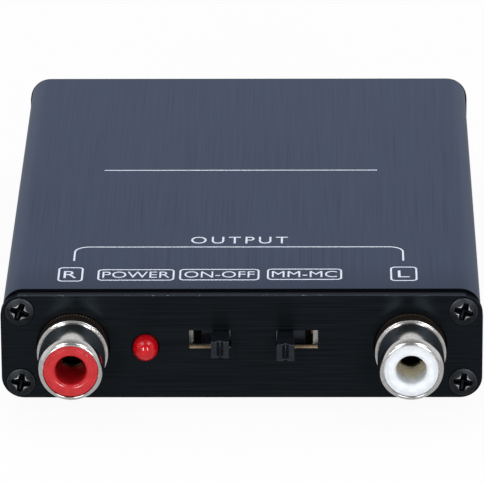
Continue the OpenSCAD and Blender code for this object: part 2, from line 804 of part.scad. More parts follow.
module supply_socket_body()
    color([0.1, 0.1, 0.1]) at_rear(-supply_x) difference() {
        union() {
            outward(-supply_in) linear_extrude(supply_in - panel_t)
                rounded_rect(supply_w, supply_h, body_edge);
            outward(-panel_t - past) cylinder(h = panel_t + past - supply_front, r = supply_nose_d / 2);
            block([-supply_w / 2 - ledge_reach, supply_w / 2 + ledge_reach], [board_top, -ledge_top],
                ledge_short - supply_in, -panel_t - board_end_gap);
        }
        outward(-supply_floor) cylinder(h = supply_floor, r = supply_bore_r);
        outward(-supply_in - past) cylinder(h = supply_in, r = supply_pin_tail_r + push_gap);
        block([-leaf_w / 2 - leaf_slot, leaf_w / 2 + leaf_slot], [leaf_top - leaf_t, 0],
            -supply_in - past, -leaf_in);
    }

module supply_socket_pin()
    color("silver") at_rear(-supply_x) {
        turned([
            [0, -supply_in - tail_t], [supply_pin_tail_r, -supply_in - tail_t],
            [supply_pin_tail_r, -supply_floor], [supply_pin_r, -supply_floor],
            [supply_pin_r, -supply_pin_recess - supply_pin_r / 2],
            [supply_pin_r / 2, -supply_pin_recess], [0, -supply_pin_recess]
        ]);
        block([-tail_w / 2, tail_w / 2], [board_top, 0], -supply_in - tail_t, -supply_in);
        block([-tail_w / 2, tail_w / 2], [board_top, board_top + tail_t],
            -supply_in - tail_foot, -supply_in);
    }

module supply_socket_leaf()
    color([0.8, 0.75, 0.6]) at_rear(-supply_x)
        block([-leaf_w / 2, leaf_w / 2], [leaf_top - leaf_t, leaf_top],
            -supply_in - leaf_tail, -leaf_in - leaf_slot);

// Ground terminal: a post with a hexagonal head inside the panel, a lock nut, a washer and a thumb nut

module hex(t) cylinder(h = t, r = hex_flats / 2 / cos(30), $fn = 6);

module at_ground() at_rear(ground_x, ground_z) children();

module ground_post()
    color([0.75, 0.65, 0.4]) at_ground() {
        outward(-panel_t - tag_t - post_head_t) hex(post_head_t);
        outward(-panel_t - tag_t - post_head_t / 2)
            cylinder(h = panel_t + tag_t + post_head_t / 2 + post_out, r = post_r);
    }

module ground_lock_nut()
    color([0.75, 0.65, 0.4]) at_ground() difference() {
        outward() hex(lock_nut_t);
        outward(-past) cylinder(h = lock_nut_t + 2 * past, r = post_r + push_gap);
    }

module ground_tag()
    color("silver") at_ground() difference() {
        union() {
            outward(-panel_t - tag_t) cylinder(h = tag_t, r = tag_d / 2);
            block([-tag_tail_w / 2, tag_tail_w / 2], [board_top - ground_z, 0], -panel_t - tag_t, -panel_t);
            block([-tag_tail_w / 2, tag_tail_w / 2], [board_top - ground_z, board_top - ground_z + tag_t],
                -panel_t - tag_foot, -panel_t);
        }
        outward(-panel_t - tag_t - past) cylinder(h = tag_t + 2 * past, r = post_r + push_gap);
    }

module ground_washer()
    color("silver") at_ground() difference() {
        outward(washer_out) cylinder(h = washer_t, r = washer_d / 2);
        outward(washer_out - past) cylinder(h = washer_t + 2 * past, r = post_r + nut_gap);
    }

module ground_thumb_nut()
    color([0.75, 0.65, 0.4]) at_ground() difference() {
        turned([
            [0, thumb_out], [thumb_r - thumb_edge, thumb_out], [thumb_r, thumb_out + thumb_edge],
            [thumb_r, thumb_out + thumb_t - thumb_edge], [thumb_r - thumb_edge, thumb_out + thumb_t],
            [0, thumb_out + thumb_t]
        ]);
        outward(thumb_out - past) cylinder(h = thumb_t + 2 * past, r = post_r + nut_gap);
        for (i = [0:thumb_flutes - 1])
            outward(thumb_out - past) rotate([0, 0, i * 360 / thumb_flutes])
                translate([thumb_r + flute_r / 2, 0, 0]) cylinder(h = thumb_t + 2 * past, r = flute_r);
    }

// Components that stand on the board

module on_board(place) translate([place[0], place[1], mid_z + board_top]) children();

module amplifier_chips()
    color([0.12, 0.12, 0.13])
        for (place = chip_places) on_board(place) gull_wing(chip_l, chip_w, chip_h, chip_legs, chip_pitch);

// A chip: its body stands clear of the board on rows of bent legs
module gull_wing(l, w, h, legs, pitch) {
    translate([-l / 2, -w / 2, leg_lift]) cube([l, w, h - leg_lift]);
    for (i = [0:legs - 1], sy = [-1, 1])
        translate([(i - (legs - 1) / 2) * pitch, sy * w / 2, 0]) mirror([0, sy < 0 ? 1 : 0, 0]) {
            translate([-leg_w / 2, -leg_t, h / 2]) cube([leg_w, 3 * leg_t, leg_t]);
            translate([-leg_w / 2, leg_t, 0]) cube([leg_w, leg_t, h / 2 + leg_t]);
            translate([-leg_w / 2, leg_t, 0]) cube([leg_w, leg_reach - leg_t, leg_t]);
        }
}

module regulator()
    color([0.12, 0.12, 0.13])
        on_board(regulator_place)
            gull_wing(regulator_l, regulator_w, regulator_h, regulator_legs, regulator_pitch);

// A can on a square moulded base
module electrolytic_capacitors()
    color([0.7, 0.7, 0.72])
        for (place = can_places) on_board(place) {
            translate([-can_d / 2, -can_d / 2, 0]) cube([can_d, can_d, can_base_h]);
            cylinder(h = can_h, r = can_d / 2 - can_base_rim);
        }

module film_capacitors()
    color([0.65, 0.15, 0.12])
        for (place = film_places) on_board(place)
            translate([-film_l / 2, -film_t / 2, 0]) cube([film_l, film_t, film_h]);

module resistors()
    color([0.1, 0.1, 0.1])
        for (place = resistor_places) on_board(place)
            translate([-resistor_w / 2, -resistor_l / 2, 0]) cube([resistor_w, resistor_l, resistor_h]);

case_sleeve();
front_panel();
rear_panel();
front_screws();
rear_screws();
rubber_feet();
circuit_board();
out_right_shell();
out_right_insert();
out_right_contact();
out_right_body();
out_left_shell();
out_left_insert();
out_left_contact();
out_left_body();
in_right_shell();
in_right_insert();
in_right_contact();
in_right_body();
in_left_shell();
in_left_insert();
in_left_contact();
in_left_body();
power_light_lens();
power_light_leads();
power_switch_frame();
power_switch_base();
power_switch_terminals();
power_switch_lever();
power_switch_clip();
cartridge_switch_frame();
cartridge_switch_base();
cartridge_switch_terminals();
cartridge_switch_lever();
cartridge_switch_clip();
supply_socket_body();
supply_socket_pin();
supply_socket_leaf();
ground_post();
ground_lock_nut();
ground_tag();
ground_washer();
ground_thumb_nut();
amplifier_chips();
regulator();
electrolytic_capacitors();
film_capacitors();
resistors();
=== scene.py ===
import math

import bmesh
import bpy
import numpy as np
from mathutils import Matrix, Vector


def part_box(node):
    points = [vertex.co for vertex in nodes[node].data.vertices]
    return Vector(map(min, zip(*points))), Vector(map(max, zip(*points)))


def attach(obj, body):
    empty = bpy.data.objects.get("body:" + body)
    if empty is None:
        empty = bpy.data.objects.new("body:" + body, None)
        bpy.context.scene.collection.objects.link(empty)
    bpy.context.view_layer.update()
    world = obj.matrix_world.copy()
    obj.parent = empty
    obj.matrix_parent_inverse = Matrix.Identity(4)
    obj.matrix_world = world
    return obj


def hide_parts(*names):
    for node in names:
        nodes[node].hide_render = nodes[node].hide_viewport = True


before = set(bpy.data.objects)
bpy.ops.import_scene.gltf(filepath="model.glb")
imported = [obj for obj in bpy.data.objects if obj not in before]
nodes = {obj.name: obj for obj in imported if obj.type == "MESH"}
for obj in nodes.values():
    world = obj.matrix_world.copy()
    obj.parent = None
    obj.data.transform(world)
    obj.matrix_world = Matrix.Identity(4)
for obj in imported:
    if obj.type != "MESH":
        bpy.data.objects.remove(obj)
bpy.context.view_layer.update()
# Sizes are written in millimetres, unless a comment says otherwise. The frame is in metres.
MM = 0.001


# Case sleeve
# A length of extruded aluminium tube, brushed along its length and anodised black.
# It carries the screw channels and the ribs that hold the board, and both panels close it.
sleeve_edge = 0.08
front_shade_reach, front_shade_most = 9, 0.5
cut_end_start, cut_end_full = 0.06, 0.02
merged_within = 0.0005 * MM
flat_within = math.radians(0.2)
crease = math.radians(35)


def linear(hex_colour):
    """An sRGB hex colour as linear red, green and blue, with full alpha."""
    s = np.array([int(hex_colour[i : i + 2], 16) for i in (1, 3, 5)]) / 255
    rgb = np.where(s <= 0.04045, s / 12.92, ((s + 0.055) / 1.055) ** 2.4)
    return (*rgb.tolist(), 1.0)


def add(tree, kind, inputs, **settings):
    """Adds one shader node with its settings. Each input is a value, or a socket that feeds it."""
    made = tree.nodes.new(kind)
    for name, value in settings.items():
        setattr(made, name, value)
    for name, value in inputs.items():
        if isinstance(value, bpy.types.NodeSocket):
            tree.links.new(value, made.inputs[name])
        else:
            made.inputs[name].default_value = value
    return made


def grain(tree, size_mm, detail):
    """Noise on Object coordinates, in blotches of size_mm: one size, or one each along x, y and z."""
    place = add(tree, "ShaderNodeTexCoord", {}).outputs["Object"]
    per_metre = 1 / (np.broadcast_to(size_mm, 3) * MM)
    place = add(tree, "ShaderNodeMapping", {"Vector": place, "Scale": per_metre.tolist()})
    noise = {"Vector": place.outputs["Vector"], "Scale": 1.0, "Detail": detail}
    return add(tree, "ShaderNodeTexNoise", noise).outputs["Fac"]


def finish(name, grain_mm, detail, dark, light, rough=None, relief=None, **sockets):
    """A material with one grain in it. While the grain's noise runs over the middle of its range, from
    0.3 to 0.7, the colour goes from dark to light, and the roughness from the first to the second number
    of rough. Relief is how deep the grain is in mm, and how strongly it shows. The other sockets of the
    shader get one value each."""
    material = bpy.data.materials.new(name)
    material.use_nodes = True
    tree = material.node_tree
    shader = tree.nodes["Principled BSDF"]
    for socket, value in sockets.items():
        shader.inputs[socket.replace("_", " ")].default_value = value
    noise = grain(tree, grain_mm, detail)
    middle = {"Value": noise, "From Min": 0.3, "From Max": 0.7}
    share = add(tree, "ShaderNodeMapRange", middle).outputs["Result"]
    blend = {"Factor": share, "A": linear(dark), "B": linear(light)}
    blend = add(tree, "ShaderNodeMix", blend, data_type="RGBA")
    tree.links.new(blend.outputs["Result"], shader.inputs["Base Color"])
    if rough:
        spread = {**middle, "To Min": rough[0], "To Max": rough[1]}
        spread = add(tree, "ShaderNodeMapRange", spread)
        tree.links.new(spread.outputs["Result"], shader.inputs["Roughness"])
    if relief:
        bump = {"Height": noise, "Distance": relief[0] * MM, "Strength": relief[1]}
        bump = add(tree, "ShaderNodeBump", bump)
        tree.links.new(bump.outputs["Normal"], shader.inputs["Normal"])
    return material


def coat(material, colour, amount, bare, full, most=1.0):
    """Lays one more colour over a material's own, from none where amount is bare to most where it is
    full. Returns the socket that says how thickly it lies."""
    tree = material.node_tree
    base = tree.nodes["Principled BSDF"].inputs["Base Color"]
    spread = {"Value": amount, "From Min": bare, "From Max": full, "To Max": most}
    share = add(tree, "ShaderNodeMapRange", spread).outputs["Result"]
    blend = {"Factor": share, "A": base.links[0].from_socket, "B": linear(colour)}
    blend = add(tree, "ShaderNodeMix", blend, data_type="RGBA")
    tree.links.new(blend.outputs["Result"], base)
    return share


def brush(material, along, amount):
    """Stretches reflections across brushing lines that run along this direction: the tangent is the
    direction in the surface at right angles to them."""
    tree = material.node_tree
    shader = tree.nodes["Principled BSDF"]
    facing = add(tree, "ShaderNodeNewGeometry", {}).outputs["Normal"]
    across = add(tree, "ShaderNodeVectorMath", {0: facing, 1: along}, operation="CROSS_PRODUCT")
    shader.inputs["Anisotropic"].default_value = amount
    tree.links.new(across.outputs["Vector"], shader.inputs["Tangent"])


def put(name, data):
    """Puts a mesh, a curve, a lamp or a camera into the scene as an object of this name."""
    made = bpy.data.objects.new(name, data)
    bpy.context.scene.collection.objects.link(made)
    return made


def joined(name):
    """A CAD node's loose triangles as one skin: points that fall together are merged, flat parts become
    single faces, round parts shade smoothly, and edges sharper than a crease stay crisp."""
    whole = bmesh.new()
    whole.from_mesh(nodes[name].data)
    bmesh.ops.remove_doubles(whole, verts=whole.verts, dist=merged_within)
    bmesh.ops.dissolve_limit(
        whole, angle_limit=flat_within, verts=whole.verts, edges=whole.edges, delimit={"NORMAL"}
    )
    mesh = bpy.data.meshes.new(name + "_skin")
    whole.to_mesh(mesh)
    whole.free()
    if "custom_normal" in mesh.attributes:
        mesh.attributes.remove(mesh.attributes["custom_normal"])
    mesh.shade_smooth()
    mesh.set_sharp_from_angle(angle=crease)
    return put(name + "_skin", mesh)


def ease(piece, width_mm, sharper_than=50):
    """Breaks edges sharper than this many degrees with a small round, as a deburred or moulded edge has,
    and closes the slivers that are left where rounds meet."""
    edge = piece.modifiers.new("eased edges", "BEVEL")
    edge.width = width_mm * MM
    edge.segments = 2
    edge.limit_method = "ANGLE"
    edge.angle_limit = math.radians(sharper_than)
    edge.harden_normals = False
    closed = piece.modifiers.new("closed slivers", "WELD")
    closed.merge_threshold = 0.002 * MM


def settle(piece, body, slot, material, *stood_for):
    """Gives a finished piece its material, puts it on its body and hides the CAD nodes it stands for.
    Large faces keep their own direction where they run into small round ones."""
    piece.data.materials.clear()
    piece.data.materials.append(material)
    level = piece.modifiers.new("level faces", "WEIGHTED_NORMAL")
    level.keep_sharp = True
    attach(piece, body)
    if stood_for:
        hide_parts(*stood_for)


# Anodised aluminium, brushed lengthwise: a dark metal whose fine streaks run from front to back.
# The real streaks are about 0.05 mm wide; they are drawn at 0.13 mm so that they show.
sleeve_finish = finish(
    "anodised_aluminium_brushed_lengthwise",
    grain_mm=(0.13, 20, 0.13),
    detail=3,
    dark="#2e3446",
    light="#4a536a",
    rough=(0.34, 0.48),
    relief=(0.005, 0.4),
    Metallic=1.0,
    Specular_Tint=linear("#d6dce6"),
)
brush(sleeve_finish, (0, 1, 0), 0.5)
# It has painted shade: it is a little darker towards the front, and the faces of its two cut ends are
# darker still, where the seam behind the panel lies in shade.
tree = sleeve_finish.node_tree
place = add(tree, "ShaderNodeTexCoord", {}).outputs["Object"]
depth = add(tree, "ShaderNodeSeparateXYZ", {"Vector": place}).outputs["Y"]
from_middle = add(tree, "ShaderNodeMath", {0: depth}, operation="ABSOLUTE").outputs["Value"]
sleeve_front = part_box("case_sleeve")[0].y
coat(sleeve_finish, "#282d39", depth, sleeve_front + front_shade_reach * MM, sleeve_front, front_shade_most)
cut_end = (-sleeve_front - cut_end_start * MM, -sleeve_front - cut_end_full * MM)
coat(sleeve_finish, "#121418", from_middle, *cut_end)

sleeve = joined("case_sleeve")
ease(sleeve, sleeve_edge)
settle(sleeve, "case", "sleeve_black", sleeve_finish, "case_sleeve")


# Printing on the sleeve
# White screen-printing ink on the top: plain function marks in rounded frames over what they name,
# a bracket over the two outputs, and a ruling line further back. Depths are behind the panel's face.
ink_thick, line_wide, frame_round = 0.012, 0.23, 0.55
output_ends, output_depth, output_spacing = (-6.6, 5.7), (16.35, 18.6), 1.25
bracket_ends, bracket_foot, bracket_top, bracket_round = (-21.2, 20.25), 10.5, 15.15, 1.7
rule_ends, rule_depth = (-18.5, 17.3), 42.2
sleeve_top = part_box("case_sleeve")[1].z / MM
panel_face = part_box("front_panel")[0].y / MM
# Each row has the words, the sides of their frame, the ends of the letters, the front and back of the
# frame, and the front and back of the letters.
labels = [
    ("R", (-22.92, -19.98), (-22.3, -20.7), (3.76, 8.2), (4.8, 7.05)),
    ("L", (18.66, 21.82), (19.5, 20.95), (3.86, 8.3), (4.95, 7.15)),
    ("POWER", (-17.95, -8.55), (-17.45, -9.05), (4.05, 7.52), (4.85, 6.85)),
    ("ON-OFF", (-7.72, 2.08), (-7.2, 1.58), (4.12, 7.58), (4.92, 6.92)),
    ("MM-MC", (3.25, 12.41), (3.75, 11.9), (4.25, 7.66), (5.0, 7.0)),
]


def rounded(outline, radius, steps=6, closed=True):
    """A 2-D outline whose corners are arcs: each corner gives way to points that turn evenly round the
    centre of the circle that touches both its sides."""
    outline = np.asarray(outline, float)
    radii = np.broadcast_to(radius, len(outline))
    made = []
    for i, (corner, r) in enumerate(zip(outline, radii)):
        if r == 0 or (not closed and i in (0, len(outline) - 1)):
            made.append(corner[None])
            continue
        back = outline[i - 1] - corner
        on = outline[(i + 1) % len(outline)] - corner
        back, on = back / np.linalg.norm(back), on / np.linalg.norm(on)
        half = math.acos(np.clip(back @ on, -1, 1)) / 2
        middle = corner + (back + on) / np.linalg.norm(back + on) * r / math.sin(half)
        first = corner + back * r / math.tan(half) - middle
        last = corner + on * r / math.tan(half) - middle
        whole = math.atan2(first[0] * last[1] - first[1] * last[0], first @ last)
        turn = np.linspace(0, whole, steps + 1)[:, None]
        side = np.array([-first[1], first[0]])
        made.append(middle + np.cos(turn) * first + np.sin(turn) * side)
    return np.vstack(made)


def skin(name, points, round_rows, round_columns, marks_and_painted_light=None):
    """A mesh on a grid of points, with a face between each four neighbours. Round rows or columns join
    their end to their start, points that fall together are merged, and faces are turned outwards.
    The grid may give each point a mark: above zero for wear and painted highlight, and below zero
    for soil, painted shade and painted bounce light."""
    rows, columns = points.shape[:2]
    index = np.arange(rows * columns).reshape(rows, columns)
    if round_rows:
        index = np.vstack([index, index[:1]])
    if round_columns:
        index = np.hstack([index, index[:, :1]])
    quads = np.stack([index[:-1, :-1], index[1:, :-1], index[1:, 1:], index[:-1, 1:]], axis=-1)
    mesh = bpy.data.meshes.new(name)
    mesh.from_pydata(points.reshape(-1, 3).tolist(), [], quads.reshape(-1, 4).tolist())
    if marks_and_painted_light is not None:
        marks = mesh.attributes.new("marks_and_painted_light", "FLOAT", "POINT")
        marks.data.foreach_set("value", marks_and_painted_light.ravel().astype(np.float32))
    whole = bmesh.new()
    whole.from_mesh(mesh)
    bmesh.ops.remove_doubles(whole, verts=whole.verts, dist=merged_within)
    bmesh.ops.dissolve_degenerate(whole, edges=whole.edges, dist=0.0002 * MM)
    bmesh.ops.recalc_face_normals(whole, faces=whole.faces)
    whole.to_mesh(mesh)
    whole.free()
    mesh.shade_smooth()
    mesh.set_sharp_from_angle(angle=crease)
    return put(name, mesh)


def ruled_line(name, path, closed):
    """A printed line: a flat rectangle, line_wide by ink_thick, carried along a path on the sleeve's
    top. The rectangle lies across the mean direction of the two path steps that meet at each point."""
    path = np.asarray(path, float)
    if closed:
        before, after = np.roll(path, 1, 0), np.roll(path, -1, 0)
    else:
        before = np.vstack([2 * path[:1] - path[1:2], path[:-1]])
        after = np.vstack([path[1:], 2 * path[-1:] - path[-2:-1]])
    along = after - before
    along /= np.linalg.norm(along, axis=1, keepdims=True)
    across = np.stack([-along[:, 1], along[:, 0]], -1) * line_wide / 2
    low = np.full((len(path), 1), sleeve_top)
    high = low + ink_thick
    ring = [
        np.hstack([path - across, low]),
        np.hstack([path + across, low]),
        np.hstack([path + across, high]),
        np.hstack([path - across, high]),
    ]
    if not closed:
        ends = np.hstack([path, low + ink_thick / 2])
        ring = [np.vstack([ends[:1], r, ends[-1:]]) for r in ring]
    return skin(name, np.stack(ring, 1) * MM, closed, True)


def lettering(name, words, x, y, spacing=1.0):
    """Words in the built-in letters, drawn a little thin and stretched to fill x and y, as a solid of
    ink_thick on the sleeve's top."""
    curve = bpy.data.curves.new(name, "FONT")
    curve.body = words
    curve.extrude = 0.5
    curve.offset = -0.004
    curve.space_character = spacing
    curve.resolution_u = 4
    source = put(name + "_curve", curve)
    mesh = bpy.data.meshes.new_from_object(source.evaluated_get(bpy.context.evaluated_depsgraph_get()))
    bpy.data.objects.remove(source)
    points = np.zeros((len(mesh.vertices), 3), np.float32)
    mesh.vertices.foreach_get("co", points.ravel())
    low, high = points.min(0), points.max(0)
    target_low = np.array([x[0], y[0], sleeve_top])
    target_high = np.array([x[1], y[1], sleeve_top + ink_thick])
    points = target_low + (points - low) / (high - low) * (target_high - target_low)
    mesh.vertices.foreach_set("co", (points * MM).ravel().astype(np.float32))
    return put(name, mesh)


def behind(*depths):
    """Places in mm behind the panel's face, as places along y."""
    return [panel_face + d for d in depths]


# Screen-printing ink: a matt cool white, a little uneven where the mesh of the screen let less through.
ink = finish(
    "screen_printing_ink",
    grain_mm=0.35,
    detail=3,
    dark="#d6def2",
    light="#eff4ff",
    relief=(0.004, 0.3),
    Roughness=0.55,
    Specular_IOR_Level=0.3,
)

for words, sides, ends, frame_depth, letter_depth in labels:
    label = words.lower().replace("-", "_")
    front, back = behind(*frame_depth)
    corners = [(sides[0], front), (sides[1], front), (sides[1], back), (sides[0], back)]
    border = ruled_line("frame_round_" + label, rounded(corners, frame_round), True)
    settle(border, "case", "sleeve_black", ink)
    letters = lettering("letters_" + label, words, ends, behind(*letter_depth))
    settle(letters, "case", "sleeve_black", ink)

output_y = behind(*output_depth)
output_letters = lettering("letters_output", "OUTPUT", output_ends, output_y, output_spacing)
settle(output_letters, "case", "sleeve_black", ink)

bracket_x = np.repeat(bracket_ends, 2)
bracket_y = behind(bracket_foot, bracket_top, bracket_top, bracket_foot)
bracket_path = rounded(np.stack([bracket_x, bracket_y], 1), bracket_round, 8, False)
bracket = ruled_line("output_bracket", bracket_path, False)
settle(bracket, "case", "sleeve_black", ink)

rule_path = np.stack([rule_ends, behind(rule_depth, rule_depth)], 1)
rule = ruled_line("ruling_line", rule_path, False)
settle(rule, "case", "sleeve_black", ink)


# End panels
# Two flat plates of 1.2 mm aluminium, brushed across, punched and anodised black, each held by four
# screws. The sills of the switch windows have lost their dye to the levers and show tarnished metal.
panel_edge, window_half = 0.06, 1.4
top_sheen_start, top_sheen_full = 0.12, 0.03
flaked_from, flaked_full = 0.4, 0.1
flake_mm, flake_start, flake_full = (0.3, 0.2, 0.2), 0.66, 0.72
sill_darkening_from, sill_darkest_at = 0.6, 1.1

# Anodised aluminium, brushed across: nearly black, with fine streaks from side to side.
# The real streaks are about 0.05 mm wide; they are drawn at 0.2 mm so that they show.
panel_finish = finish(
    "anodised_aluminium_brushed_across",
    grain_mm=(14, 0.2, 0.2),
    detail=4,
    dark="#14181b",
    light="#1d2125",
    rough=(0.3, 0.42),
    relief=(0.004, 0.3),
    Metallic=1.0,
    Specular_Tint=linear("#b9bec4"),
)
brush(panel_finish, (1, 0, 0), 0.7)
# The cut edge at the top is lighter, as a painted highlight of the light from above, and the front
# edge has lost a few flakes of the dye.
tree = panel_finish.node_tree
place = add(tree, "ShaderNodeTexCoord", {}).outputs["Object"]
place = add(tree, "ShaderNodeSeparateXYZ", {"Vector": place}).outputs
panel_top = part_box("front_panel")[1].z
top_edge = (panel_top - top_sheen_start * MM, panel_top - top_sheen_full * MM)
on_top = coat(panel_finish, "#43484f", place["Z"], *top_edge)
far, near = behind(flaked_from, flaked_full)
near_front = {"Value": place["Y"], "From Min": far * MM, "From Max": near * MM}
near_front = add(tree, "ShaderNodeMapRange", near_front).outputs["Result"]
flakes = {"Value": grain(tree, flake_mm, 2), "From Min": flake_start, "From Max": flake_full}
flakes = add(tree, "ShaderNodeMapRange", flakes).outputs["Result"]
for limit in (near_front, on_top):
    flakes = add(tree, "ShaderNodeMath", {0: flakes, 1: limit}, operation="MULTIPLY").outputs["Value"]
coat(panel_finish, "#bec3c8", flakes, 0, 1)

# Bare cut aluminium, a little tarnished: warm grey, scored along the cut, and darker further into the
# window.
cut_metal = finish(
    "cut_aluminium_tarnished",
    grain_mm=(0.5, 0.06, 0.06),
    detail=3,
    dark="#af9677",
    light="#dcc6a4",
    rough=(0.5, 0.7),
    Metallic=0.5,
)
tree = cut_metal.node_tree
place = add(tree, "ShaderNodeTexCoord", {}).outputs["Object"]
depth = add(tree, "ShaderNodeSeparateXYZ", {"Vector": place}).outputs["Y"]
near, far = behind(sill_darkening_from, sill_darkest_at)
coat(cut_metal, "#2a2118", depth, near * MM, far * MM)

for name in ("front_panel", "rear_panel"):
    panel = joined(name)
    ease(panel, panel_edge)
    settle(panel, "case", "panel_black", panel_finish, name)

# The window sills are the faces that look up inside the two windows of the front panel.
panel = bpy.data.objects["front_panel_skin"]
panel.data.materials.append(cut_metal)
faces = panel.data.polygons
middles = np.zeros((len(faces), 3), np.float32)
normals = np.zeros((len(faces), 3), np.float32)
faces.foreach_get("center", middles.ravel())
faces.foreach_get("normal", normals.ravel())
is_sill = np.zeros(len(faces), np.int32)
for switch in ("power", "cartridge"):
    window_low, window_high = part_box(f"{switch}_switch_frame")
    lever_low, lever_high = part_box(f"{switch}_switch_lever")
    in_width = (middles[:, 0] > window_low.x) & (middles[:, 0] < window_high.x)
    in_height = np.abs(middles[:, 2] - (lever_low.z + lever_high.z) / 2) < window_half * MM
    is_sill |= in_width & in_height & (normals[:, 2] > 0.5)
faces.foreach_set("material_index", is_sill)


# Panel screws
# Eight M2 steel screws with raised countersunk heads and a cross recess, blackened.
# The heads stand a little over the panels.
screw_side, screw_level = 27.6, 4.75
screw_head_r, screw_shank_r, screw_length = 1.8, 1.0, 7.0
head_edge, head_rise, dome_end_r, edge_round = 0.12, 0.35, 1.6, 0.1
recess_reach, recess_half, recess_taper = 1.22, 0.62, 0.28
recess_deep, recess_slope, floor_rise = 1.0, 2.0, 0.7
corner_wear_glint_wide, edge_wear_glint, edge_wear_glint_out, edge_wear_glint_wide = 0.3, 1.4, 0.03, 0.09
rim_highlight, rim_highlight_r, rim_highlight_wide, recess_shaded_below = 0.05, 1.72, 0.07, 0.4
front_turns, rear_turns = (-20, -17, -10, -8), (12, -25, 33, 5)


def screw(name, centre, outward, turn):
    """A screw as one surface turned from the middle of its head to its tip. Inside a cross of two bars
    that narrow outwards, the head sinks with the distance from the bars' sides, down to a floor that
    rises to the ends of the bars. The cross darkens with depth as painted shade. Where the bars meet,
    its edge is worn bright and carries a painted highlight, and the rim of the head has a painted
    highlight."""
    ball = (screw_head_r**2 + head_rise**2) / (2 * head_rise)
    past_recess = np.linspace(recess_reach, dome_end_r, 6)[1:]
    dome_r = np.concatenate([np.linspace(0, recess_reach, 40), past_recess])
    dome_out = head_edge + head_rise - ball + np.sqrt(ball**2 - dome_r**2)
    rim = [(dome_r[-1], dome_out[-1]), (screw_head_r, head_edge), (screw_head_r, 0)]
    rim = rounded(rim, edge_round, 5, False)
    shank = [(screw_shank_r, screw_shank_r - screw_head_r), (screw_shank_r, -screw_length)]
    tip = [(0, -screw_length)]
    radius, out = np.vstack([np.stack([dome_r, dome_out], 1), rim[1:], shank, tip]).T
    angle = np.linspace(0, 2 * np.pi, 240, endpoint=False)
    u = np.abs(np.outer(radius, np.cos(angle - math.radians(turn))))
    v = np.abs(np.outer(radius, np.sin(angle - math.radians(turn))))
    bar_u = np.minimum(recess_half - recess_taper * u - v, recess_reach - u)
    bar_v = np.minimum(recess_half - recess_taper * v - u, recess_reach - v)
    within = np.maximum(bar_u, bar_v)
    floor_deep = recess_deep * (1 - floor_rise * np.hypot(u, v) / recess_reach)
    on_head = (out > 0)[:, None]
    sunk = np.where(on_head, np.clip(within * recess_slope, 0, np.maximum(floor_deep, 0)), 0)
    corner = recess_half / (1 + recess_taper)
    near_corner = np.exp(-((u - corner) ** 2 + (v - corner) ** 2) / corner_wear_glint_wide**2)
    edge_wear_and_glint = edge_wear_glint * np.exp(-(((within + edge_wear_glint_out) / edge_wear_glint_wide) ** 2)) * near_corner
    rim_painted_highlight = rim_highlight * np.exp(-(((radius - rim_highlight_r) / rim_highlight_wide) ** 2))[:, None]
    marks_and_painted_light = (edge_wear_and_glint + rim_painted_highlight - np.clip(sunk / recess_shaded_below, 0, 1)) * on_head
    x = centre[0] + np.outer(radius, np.cos(angle))
    z = centre[1] + np.outer(radius, np.sin(angle))
    y = centre[2] + outward * (out[:, None] - sunk)
    return skin(name, np.stack([x, y, z], -1) * MM, False, True, marks_and_painted_light)


# Blackened steel: a thin oxide, near black, worn a little brighter and uneven from handling.
screw_finish = finish(
    "blackened_steel",
    grain_mm=0.5,
    detail=4,
    dark="#1c1e21",
    light="#2f3235",
    rough=(0.36, 0.56),
    relief=(0.01, 0.4),
    Metallic=1.0,
)
tree = screw_finish.node_tree
# Bright where the recess corners are worn and carry a painted highlight, and in a painted highlight
# round the rim; dark as painted shade deeper in the recess.
marks_and_painted_light = add(tree, "ShaderNodeAttribute", {}, attribute_name="marks_and_painted_light").outputs["Fac"]
coat(screw_finish, "#a2a3a6", marks_and_painted_light, 0.0, 0.8)
coat(screw_finish, "#131417", marks_and_painted_light, 0.0, -0.8)

panel_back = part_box("rear_panel")[1].y / MM
panel_middle = (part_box("front_panel")[0].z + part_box("front_panel")[1].z) / 2 / MM
for name, face, outward, turns in (
    ("front_screws", panel_face, -1, front_turns),
    ("rear_screws", panel_back, 1, rear_turns),
):
    for i, turn in enumerate(turns):
        x = (1 if i % 2 else -1) * screw_side * -outward
        z = panel_middle + (1 if i < 2 else -1) * screw_level
        made = screw(f"{name[:-1]}_{i + 1}", (x, z, face), outward, turn)
        settle(made, "case", "screw_black", screw_finish, name)


# Feet
# Four round pads of soft black rubber, stuck under the sleeve.
# Rubber is matt and takes up dust, so it is a little lighter in patches.
rubber = finish(
    "moulded_rubber",
    grain_mm=1.2,
    detail=4,
    dark="#161616",
    light="#242424",
    relief=(0.03, 0.4),
    Roughness=0.8,
    Specular_IOR_Level=0.3,
)
feet = joined("rubber_feet")
settle(feet, "case", "foot_rubber", rubber, "rubber_feet")


# Circuit board and its components
# One glass-epoxy board with green solder mask on the lower screw channels, with chips, a regulator,
# capacitors and resistors soldered to it. Nothing of it shows while the case is closed.


def dress(material, *names):
    """Gives CAD nodes that are shown as they are their material."""
    for name in names:
        nodes[name].material_slots[0].material = material


# Solder mask over copper: green, darker where no copper lies under it.
solder_mask = finish(
    "solder_mask_green",
    grain_mm=2.5,
    detail=1,
    dark="#0f3d22",
    light="#1d5a35",
    relief=(0.03, 0.5),
    Roughness=0.35,
)
dress(solder_mask, "circuit_board")

# Epoxy moulding compound: matt black with a fine grit, drawn at 0.12 mm so that it shows.
chip_epoxy = finish(
    "epoxy_moulding_compound",
    grain_mm=0.12,
    detail=2,
    dark="#17181a",
    light="#26282b",
    relief=(0.01, 0.5),
    Roughness=0.6,
)
dress(chip_epoxy, "amplifier_chips", "regulator", "resistors")

